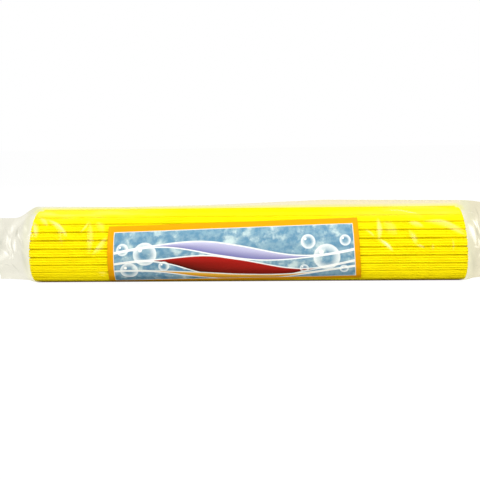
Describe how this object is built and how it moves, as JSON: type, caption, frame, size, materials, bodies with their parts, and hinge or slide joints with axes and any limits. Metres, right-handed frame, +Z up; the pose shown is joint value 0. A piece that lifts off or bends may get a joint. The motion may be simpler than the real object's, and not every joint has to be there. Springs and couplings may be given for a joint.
{
  "type": "sponge mop refill",
  "caption": "Ribbed yellow sponge mop refill with a steel backing rail, threaded bolts and wing nuts, packed in a clear film bag with an insert card.",
  "frame": {"origin": "middle of the package's footprint, on the surface it lies on", "axes": "+X along the sponge, -Y out of the ribbed crown, +Y out of the backing rail along the bolts, +Z up as the package lies"},
  "size_m": [0.4634, 0.0753, 0.0727],
  "materials": {
    "sponge": "matte",
    "rail_steel": "satin",
    "fastener_steel": "satin",
    "card": "satin",
    "film": "gloss"
  },
  "bodies": {
    "refill": {"sponge_body": "sponge", "backing_rail": "rail_steel", "carriage_bolt_left": "fastener_steel", "carriage_bolt_right": "fastener_steel", "insert_card": "card", "bag_film": "film"},
    "washer_left": {"flat_washer_left": "fastener_steel"},
    "washer_right": {"flat_washer_right": "fastener_steel"},
    "nut_left": {"wing_nut_left": "fastener_steel"},
    "nut_right": {"wing_nut_right": "fastener_steel"}
  },
  "joints": [
    {"name": "washer_left_slide", "type": "slide", "parent": "refill", "child": "washer_left", "axis": [0, 1, 0], "range_m": [0, 0.0062]},
    {"name": "nut_left_turn", "type": "hinge", "parent": "washer_left", "child": "nut_left", "pos_m": [-0.045, 0.01575, 0.0332], "axis": [0, 1, 0], "range_deg": [0, 2790]},
    {"name": "washer_right_slide", "type": "slide", "parent": "refill", "child": "washer_right", "axis": [0, 1, 0], "range_m": [0, 0.0062]},
    {"name": "nut_right_turn", "type": "hinge", "parent": "washer_right", "child": "nut_right", "pos_m": [0.045, 0.01575, 0.0332], "axis": [0, 1, 0], "range_deg": [0, 2790]}
  ],
  "couplings": [
    {"joint": "washer_left_slide", "follows": "nut_left_turn", "m_per_rad": 0.0001273},
    {"joint": "washer_right_slide", "follows": "nut_right_turn", "m_per_rad": 0.0001273}
  ]
}
